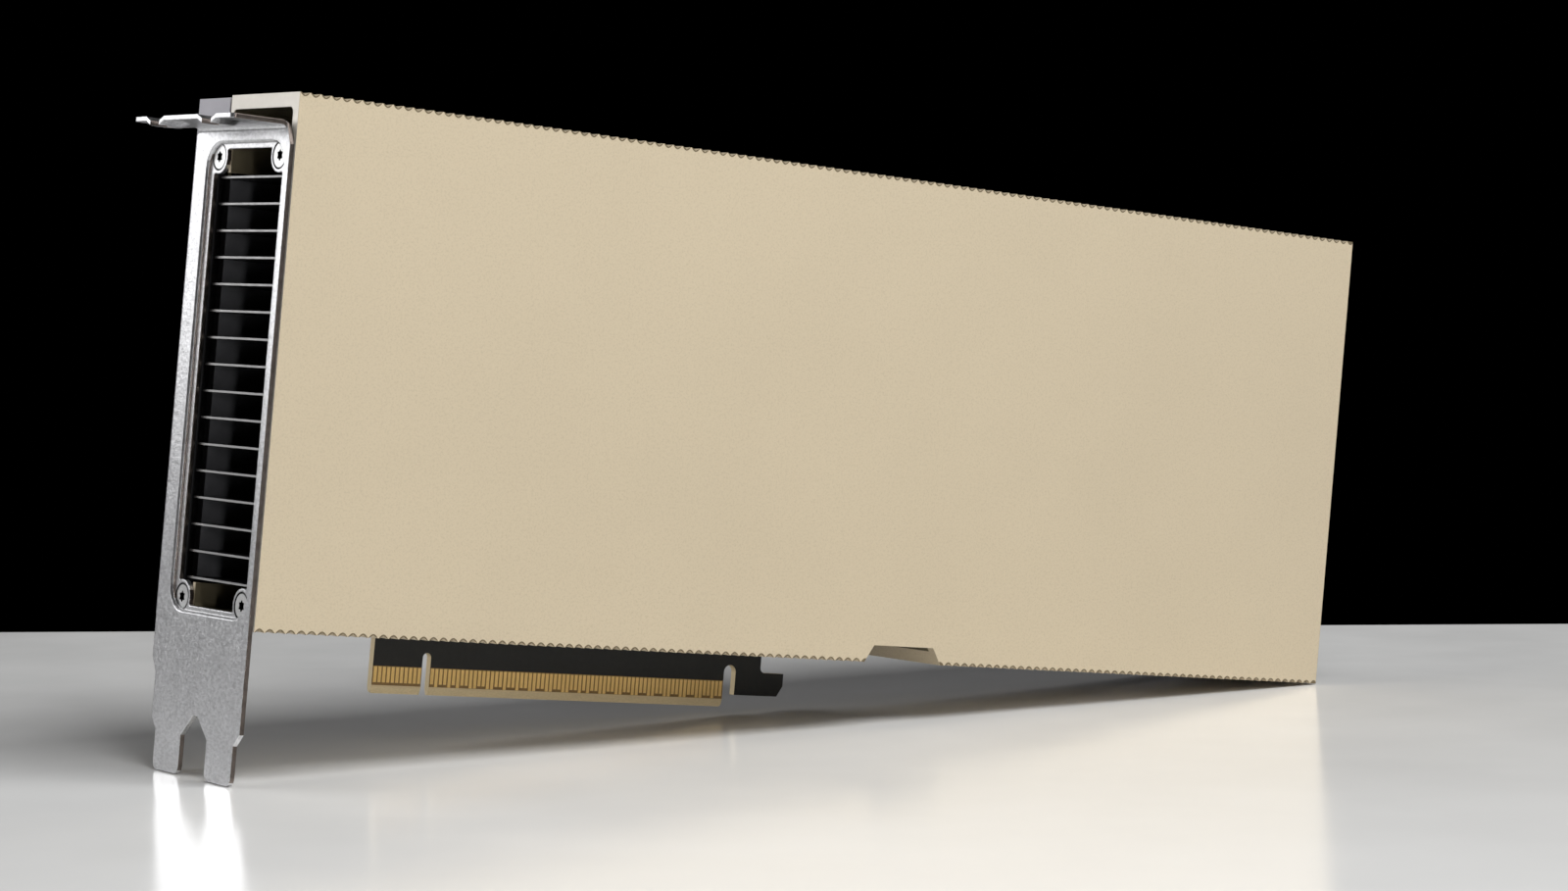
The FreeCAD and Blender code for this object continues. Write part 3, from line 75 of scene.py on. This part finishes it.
def srgb(red, green, blue):
    """A screen colour, 0 to 255 a channel, as the linear colour that a shader takes."""
    def linear(value):
        share = value / 255
        return share / 12.92 if share <= 0.04045 else ((share + 0.055) / 1.055) ** 2.4
    return (linear(red), linear(green), linear(blue), 1.0)


# ---- Shader building blocks ----
class Shader:
    """A material with its principled shader, and short calls for the nodes that feed it."""

    def __init__(self, name, metallic=0.0, roughness=0.5):
        self.material = bpy.data.materials.new(name)
        self.material.use_nodes = True
        self.tree = self.material.node_tree
        self.shader = self.tree.nodes["Principled BSDF"]
        self.set("Metallic", metallic)
        self.set("Roughness", roughness)
        self.coordinates = self.node("ShaderNodeTexCoord")
        self.place = self.coordinates.outputs["Object"]

    def set(self, socket, value):
        self.shader.inputs[socket].default_value = value

    def node(self, kind, **settings):
        made = self.tree.nodes.new(kind)
        for key, value in settings.items():
            setattr(made, key, value)
        return made

    def link(self, source, target):
        self.tree.links.new(source, target)

    def put(self, value, target):
        """Give a socket a number or a colour, or link another socket to it."""
        if isinstance(value, (int, float, tuple)):
            target.default_value = value
        else:
            self.link(value, target)

    def feed(self, socket, source):
        self.link(source, self.shader.inputs[socket])

    def stretched(self, x, y, z):
        """The object's coordinates, scaled along each axis."""
        mapping = self.node("ShaderNodeMapping")
        mapping.inputs["Scale"].default_value = (x, y, z)
        self.link(self.place, mapping.inputs["Vector"])
        return mapping.outputs["Vector"]

    def noise(self, size_mm, detail=2.0, roughness=0.5, vector=None):
        """Noise whose grains are about size_mm across."""
        made = self.node("ShaderNodeTexNoise")
        made.inputs["Scale"].default_value = 1.0 / (size_mm * MM)
        made.inputs["Detail"].default_value = detail
        made.inputs["Roughness"].default_value = roughness
        self.link(vector or self.place, made.inputs["Vector"])
        return made.outputs["Fac"]

    def ramp(self, source, low, high):
        """Two colours picked by a value; each end is (position, colour)."""
        made = self.node("ShaderNodeValToRGB")
        for element, (position, colour) in zip(made.color_ramp.elements, (low, high)):
            element.position = position
            element.color = colour
        self.link(source, made.inputs["Fac"])
        return made.outputs["Color"]

    def remap(self, source, low, high, to_low, to_high):
        made = self.node("ShaderNodeMapRange")
        ends = (("From Min", low), ("From Max", high), ("To Min", to_low), ("To Max", to_high))
        for socket, value in ends:
            made.inputs[socket].default_value = value
        self.link(source, made.inputs["Value"])
        return made.outputs["Result"]

    def math(self, operation, first, second=None):
        made = self.node("ShaderNodeMath", operation=operation)
        self.put(first, made.inputs[0])
        if second is not None:
            self.put(second, made.inputs[1])
        return made.outputs["Value"]

    def times(self, first, second):
        return self.math("MULTIPLY", first, second)

    def above(self, value, limit):
        """1 where the value is over the limit, else 0."""
        return self.math("GREATER_THAN", value, limit)

    def below(self, value, limit):
        return self.math("LESS_THAN", value, limit)

    def mix(self, factor, first, second, blend="MIX"):
        """Two colours mixed; each may be a colour or a socket."""
        made = self.node("ShaderNodeMix", data_type="RGBA", blend_type=blend)
        self.put(factor, made.inputs[0])
        self.put(first, made.inputs[6])
        self.put(second, made.inputs[7])
        return made.outputs[2]

    def axis(self, letter):
        """One of the object's coordinates, in metres."""
        split = self.node("ShaderNodeSeparateXYZ")
        self.link(self.place, split.inputs["Vector"])
        return split.outputs[letter]

    def facing(self, letter):
        """How squarely the surface faces along an axis, 0 to 1."""
        split = self.node("ShaderNodeSeparateXYZ")
        self.link(self.coordinates.outputs["Normal"], split.inputs["Vector"])
        return self.math("ABSOLUTE", split.outputs[letter])

    def rounded_edges(self, radius_mm):
        """Edges that catch the light as if slightly broken."""
        made = self.node("ShaderNodeBevel")
        made.samples = 6
        made.inputs["Radius"].default_value = radius_mm * MM
        return made.outputs["Normal"]

    def bump(self, height, depth_mm, strength, normal=None):
        made = self.node("ShaderNodeBump")
        made.inputs["Strength"].default_value = strength
        made.inputs["Distance"].default_value = depth_mm * MM
        self.link(height, made.inputs["Height"])
        if normal is not None:
            self.link(normal, made.inputs["Normal"])
        return made.outputs["Normal"]

    def shades(self, base, spread, size_mm, vector=None):
        """A base colour that wanders a little lighter and darker."""
        low = tuple(c * (1 - spread) for c in base[:3]) + (1.0,)
        high = tuple(min(c * (1 + spread), 1.0) for c in base[:3]) + (1.0,)
        return self.ramp(self.noise(size_mm, 3.0, vector=vector), (0.3, low), (0.7, high))

    def uneven_roughness(self, source, smooth, rough):
        """Roughness that follows a noise from one level to another."""
        self.feed("Roughness", self.remap(source, 0.3, 0.7, smooth, rough))


# ---- Masks shared by materials ----
def from_screw_axis(s):
    """Distance, in millimetres, from the axis of the nearest bracket screw."""
    low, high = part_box("bracket_screws")
    total = None
    for letter, i in (("Y", 1), ("Z", 2)):
        middle = (low[i] + high[i]) / 2
        half_spacing = (high[i] - low[i]) / 2 - SCREW_HEAD_RADIUS * MM
        off = s.math("ABSOLUTE", s.math("SUBTRACT", s.axis(letter), middle))
        off = s.times(s.math("SUBTRACT", off, half_spacing), 1 / MM)
        square = s.times(off, off)
        total = square if total is None else s.math("ADD", total, square)
    return s.math("SQRT", total)


def within(s, mask, ranges):
    """The mask, kept only where each named coordinate lies in its range."""
    for letter, low, high in ranges:
        value = s.axis(letter)
        mask = s.times(mask, s.above(value, low * MM))
        mask = s.times(mask, s.below(value, high * MM))
    return mask


def flute_mouth_painted_shade(s):
    """1 on the broad face at the mouths of the flutes along its two long edges, 0 elsewhere: the
    mask of the painted shade that stands for each flute's shaded inside.
    """
    low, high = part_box("shroud")
    along = s.math("DIVIDE", s.math("SUBTRACT", s.axis("X"), low[0]), FLUTE_PITCH * MM)
    off = s.math("SUBTRACT", s.math("FRACT", along), 0.5)
    off = s.times(off, FLUTE_PITCH / FLUTE_MOUTH_HALF)
    reach = s.times(s.math("SUBTRACT", 1.0, s.times(off, off)), FLUTE_MOUTH_DEPTH * MM)
    at_top = s.below(s.math("SUBTRACT", high[2], s.axis("Z")), reach)
    at_bottom = s.below(s.math("SUBTRACT", s.axis("Z"), low[2]), reach)
    return s.times(s.math("MAXIMUM", at_top, at_bottom), s.above(s.facing("Y"), 0.7))


# ---- Materials ----
def champagne_aluminium():
    """Bead-blasted and anodised: a speckle over a champagne ground, with painted shade inside
    the duct and at the flute mouths, and a painted highlight on the end face.
    """
    s = Shader("champagne_aluminium", metallic=0.45)
    ground = s.shades(srgb(203, 189, 163), 0.015, 40.0)
    speckle = s.noise(0.42, 3.0, 0.65)
    tint = s.ramp(speckle, (0.30, (0.89, 0.88, 0.87, 1)), (0.52, (1, 1, 1, 1)))
    outside = s.mix(1.0, ground, tint, "MULTIPLY")
    behind_mouth = s.above(s.axis("X"), SHROUD_MOUTH_X * MM)
    # Painted highlight: the end face in front of the mouth is painted a lighter ivory for the
    # light falling on it.
    end_face_painted_highlight = s.times(s.above(s.facing("X"), 0.9), s.math("SUBTRACT", 1.0, behind_mouth))
    outside = s.mix(end_face_painted_highlight, outside, srgb(224, 219, 210))
    # Painted shade: darker crescents at the flute mouths.
    outside = s.mix(flute_mouth_painted_shade(s), outside, srgb(112, 99, 76))
    # Painted shade: behind the mouth, the duct's inside is painted darker for the shade in it.
    inside = within(s, behind_mouth, SHROUD_INSIDE)
    s.feed("Base Color", s.mix(inside, outside, srgb(96, 88, 68)))
    s.uneven_roughness(s.noise(0.9), 0.46, 0.56)
    s.feed("Normal", s.bump(speckle, 0.02, 0.4, s.rounded_edges(0.18)))
    return s.material


def grey_aluminium():
    """Anodised lavender grey, with painted shade inside the tray."""
    s = Shader("grey_aluminium", metallic=0.5, roughness=0.48)
    outside = s.shades(srgb(156, 154, 160), 0.04, 6.0)
    # Painted shade: behind the mouth, the tray's inside is painted darker.
    inside = within(s, s.above(s.axis("X"), FRAME_MOUTH_X * MM), FRAME_INSIDE)
    s.feed("Base Color", s.mix(inside, outside, srgb(58, 57, 59)))
    s.feed("Normal", s.bump(s.noise(0.5, 3.0, 0.6), 0.02, 0.4, s.rounded_edges(0.2)))
    return s.material


def bracket_steel():
    """Plated sheet with a fine pebbled grain, with painted shade on its side edges and a painted
    shadow round the screw heads.
    """
    s = Shader("bracket_steel", metallic=1.0)
    grain = s.ramp(s.noise(0.75, 3.0, 0.6, s.stretched(1, 0.7, 1.3)),
                   (0.36, (0.84, 0.84, 0.84, 1)), (0.62, (1.10, 1.10, 1.10, 1)))
    plated = s.mix(1.0, s.shades(srgb(204, 204, 206), 0.06, 5.0), grain, "MULTIPLY")
    # Painted shade: the side edges, facing along Y, are painted dark for the shadow gap beside
    # the shroud and the dark they reflect.
    side_edges_painted_shade = s.above(s.facing("Y"), 0.85)
    coloured = s.mix(side_edges_painted_shade, plated, s.shades(srgb(104, 96, 91), 0.2, 1.5))
    # Painted shadow: a dark ring on the dish round each screw head.
    painted_shadow_ring = s.remap(from_screw_axis(s), SCREW_HEAD_RADIUS + 0.22,
                          SCREW_HEAD_RADIUS + 0.38, 1.0, 0.0)
    painted_shadow_ring = s.times(painted_shadow_ring, s.above(s.axis("X"), DISH_FACE_X * MM))
    s.feed("Base Color", s.mix(painted_shadow_ring, coloured, srgb(20, 20, 21)))
    pebble = s.noise(0.9)
    s.uneven_roughness(pebble, 0.28, 0.36)
    waves = s.bump(s.noise(14.0, 1.0), 0.25, 0.5, s.rounded_edges(0.3))
    s.feed("Normal", s.bump(pebble, 0.075, 0.55, waves))
    return s.material


def screw_steel():
    """Bright heads, with a painted shadow as a dark line round each head's edge and painted
    shade in the drive recess.
    """
    s = Shader("screw_steel", metallic=1.0, roughness=0.34)
    bright = s.shades(srgb(205, 205, 205), 0.06, 0.6)
    away = from_screw_axis(s)
    # Painted shadow: a dark line round the edge of each head.
    rim = s.remap(away, SCREW_HEAD_RADIUS - 0.16, SCREW_HEAD_RADIUS - 0.04, 0.0, 1.0)
    # Painted shade: the drive recess is painted dark.
    recess_painted_shade = s.above(s.axis("X"), (SCREW_HEAD_FACE_X + SCREW_RECESS_START) * MM)
    recess_painted_shade = s.times(recess_painted_shade, s.below(away, SCREW_RECESS_REACH))
    s.feed("Base Color", s.mix(s.math("MAXIMUM", rim, recess_painted_shade), bright, srgb(16, 16, 17)))
    s.feed("Normal", s.bump(s.noise(0.12), 0.01, 0.4))
    return s.material


def dark_screw_steel():
    """Blackened screws."""
    s = Shader("dark_screw_steel", metallic=0.8, roughness=0.45)
    s.feed("Base Color", s.shades(srgb(48, 48, 50), 0.15, 0.5))
    s.feed("Normal", s.rounded_edges(0.12))
    return s.material


def fin_aluminium():
    """Fins painted dark as painted shade of the deep duct, with the cut edges, facing along X,
    painted lighter as a painted highlight.
    """
    s = Shader("fin_aluminium", metallic=1.0)
    # Painted highlight on the cut edges; painted shade over the rest of each fin.
    cut = s.above(s.facing("X"), 0.7)
    dark = s.shades(srgb(56, 56, 57), 0.2, 4.0)
    s.feed("Base Color", s.mix(cut, dark, srgb(150, 150, 150)))
    s.uneven_roughness(s.noise(1.5), 0.36, 0.5)
    return s.material


def base_metal():
    """The plate behind the fins, with its ends painted near black as painted shade."""
    s = Shader("base_metal", metallic=0.2, roughness=0.45)
    # Painted shade: the plate's ends, facing along X, are painted near black.
    end = s.above(s.facing("X"), 0.7)
    s.feed("Base Color", s.mix(end, s.shades(srgb(84, 84, 87), 0.1, 3.0), srgb(20, 20, 20)))
    return s.material


def solder_mask():
    """Black mask over laminate; the cut edges and the bevel below the contacts are bare."""
    s = Shader("solder_mask")
    s.set("Specular IOR Level", 0.3)
    face = s.above(s.facing("Y"), 0.96)
    masked = s.above(s.axis("Z"), MASK_LOWER_EDGE_Z * MM)
    on_tongue = s.below(s.axis("X"), TONGUE_END_X * MM)
    mask = s.shades(srgb(26, 26, 24), 0.12, 1.2)
    between_contacts = s.shades(srgb(128, 100, 60), 0.10, 0.8)
    bare = s.shades(srgb(212, 194, 156), 0.08, 0.5, s.stretched(1, 6, 1))
    unmasked = s.times(on_tongue, s.math("SUBTRACT", 1.0, masked))
    broad = s.mix(unmasked, mask, between_contacts)
    bevel = s.times(on_tongue, s.below(s.axis("Z"), CONTACTS_LOWER_EDGE_Z * MM))
    broad = s.mix(bevel, broad, srgb(206, 186, 148))
    s.feed("Base Color", s.mix(face, bare, broad))
    s.uneven_roughness(s.noise(0.4), 0.34, 0.5)
    return s.material


def contact_gold():
    """Plated contact fingers, faintly drawn along their length."""
    s = Shader("contact_gold", metallic=1.0)
    s.feed("Base Color", s.shades(srgb(226, 190, 122), 0.06, 0.7, s.stretched(3, 1, 1)))
    s.uneven_roughness(s.noise(0.5), 0.28, 0.42)
    return s.material


def plain(name, colour, roughness, grain_mm=0.8, metallic=0.0, spread=0.1):
    """A moulded, fired or sawn surface with a little grain."""
    s = Shader(name, metallic, roughness)
    s.feed("Base Color", s.shades(colour, spread, grain_mm * 4))
    s.feed("Normal", s.bump(s.noise(grain_mm), 0.02, 0.3))
    return s.material


MATERIALS = {
    "champagne_aluminium": champagne_aluminium(),
    "grey_aluminium": grey_aluminium(),
    "bracket_steel": bracket_steel(),
    "screw_steel": screw_steel(),
    "dark_screw_steel": dark_screw_steel(),
    "fin_aluminium": fin_aluminium(),
    "base_metal": base_metal(),
    "solder_mask": solder_mask(),
    "contact_gold": contact_gold(),
    "substrate_laminate": plain("substrate_laminate", srgb(48, 74, 44), 0.45),
    "silicon": plain("silicon", srgb(60, 60, 68), 0.15, metallic=0.6, spread=0.03),
    "stiffener_metal": plain("stiffener_metal", srgb(180, 180, 178), 0.4,
                             metallic=1.0, spread=0.04),
    "thermal_compound": plain("thermal_compound", srgb(170, 170, 172), 0.7),
    "thermal_pad": plain("thermal_pad", srgb(150, 164, 182), 0.8),
    "ferrite": plain("ferrite", srgb(92, 92, 94), 0.6, grain_mm=0.3),
    "chip_plastic": plain("chip_plastic", srgb(38, 38, 40), 0.5, grain_mm=0.2),
    "capacitor_plastic": plain("capacitor_plastic", srgb(50, 50, 50), 0.5, grain_mm=0.2),
    "capacitor_ceramic": plain("capacitor_ceramic", srgb(170, 140, 108), 0.5, grain_mm=0.2),
    "crystal_can": plain("crystal_can", srgb(205, 205, 205), 0.3, metallic=1.0, spread=0.03),
    "inlet_plastic": plain("inlet_plastic", srgb(34, 34, 35), 0.5, grain_mm=0.3),
    "pin_metal": plain("pin_metal", srgb(205, 200, 190), 0.3, metallic=1.0, spread=0.04),
    "film_plastic": plain("film_plastic", srgb(38, 38, 38), 0.35, grain_mm=1.5),
}


def dress_cad_nodes():
    """Give every CAD node the material of its slot in the record."""
    slots = {row["node"]: row["material_slot"] for row in frame["record"]["subparts"]}
    for name, node in frame["nodes"].items():
        node.data.materials.clear()
        node.data.materials.append(MATERIALS[slots[name]])


# ---- Floor, lights and camera ----
def add_object(name, data):
    """A new object in the scene."""
    made = bpy.data.objects.new(name, data)
    bpy.context.collection.objects.link(made)
    return made


def floor_material():
    """A glossy white table top."""
    s = Shader("pale_floor")
    s.set("Base Color", srgb(243, 243, 242))
    s.uneven_roughness(s.noise(45.0, 3.0), 0.13, 0.19)
    return s.material


def add_floor():
    """A table top under the leg tips and the far lower corner, on which the card rests."""
    shroud_low, shroud_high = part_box("shroud")
    slope = math.atan2(shroud_low[2], shroud_high[0])
    foot = Vector((CAMERA_PLACE.x, CAMERA_PLACE.y, 0))
    corners = [foot + FLOOR_ALONG * depth + FLOOR_ACROSS * side for depth, side in FLOOR_CORNERS]
    sloped = [Vector((c.x, c.y, -FLOOR_GAP + c.x * math.tan(slope))) for c in corners]
    mesh = bpy.data.meshes.new("floor")
    mesh.from_pydata(sloped, [], [(0, 1, 2, 3)])
    mesh.materials.append(floor_material())
    add_object("floor", mesh)


def add_world():
    """A black studio that gives a trace of soft light."""
    world = bpy.data.worlds.new("studio")
    bpy.context.scene.world = world
    world.use_nodes = True
    tree = world.node_tree
    background = tree.nodes["Background"]
    background.inputs["Color"].default_value = (1, 1, 1, 1)
    path = tree.nodes.new("ShaderNodeLightPath")
    mix = tree.nodes.new("ShaderNodeMix")
    mix.inputs["A"].default_value = WORLD_SEEN
    mix.inputs["B"].default_value = WORLD_SOFT
    tree.links.new(path.outputs["Is Diffuse Ray"], mix.inputs["Factor"])
    tree.links.new(mix.outputs["Result"], background.inputs["Strength"])


def add_lights():
    """Rectangular softboxes, all aimed at one point of the card."""
    target = Vector(LIGHT_TARGET)
    for name, place, size, watts in LIGHTS:
        light = bpy.data.lights.new(name, "AREA")
        light.shape = "RECTANGLE"
        light.size, light.size_y = size
        light.energy = watts
        lamp = add_object(name, light)
        lamp.location = place
        lamp.rotation_euler = (target - Vector(place)).to_track_quat("-Z", "Y").to_euler()


def add_camera():
    """The viewpoint: in front of the bracket end, level with the card's middle."""
    data = bpy.data.cameras.new("camera")
    data.sensor_width = CAMERA_SENSOR_MM
    data.lens = CAMERA_LENS_MM
    data.clip_start = 0.01
    data.clip_end = 50
    camera = add_object("camera", data)
    columns = Matrix((CAMERA_RIGHT, CAMERA_UP, -CAMERA_FORWARD)).transposed()
    camera.matrix_world = Matrix.Translation(CAMERA_PLACE) @ columns.to_4x4()
    bpy.context.scene.camera = camera


dress_cad_nodes()
add_floor()
add_world()
add_lights()
add_camera()
bpy.context.scene.view_settings.view_transform = "Standard"
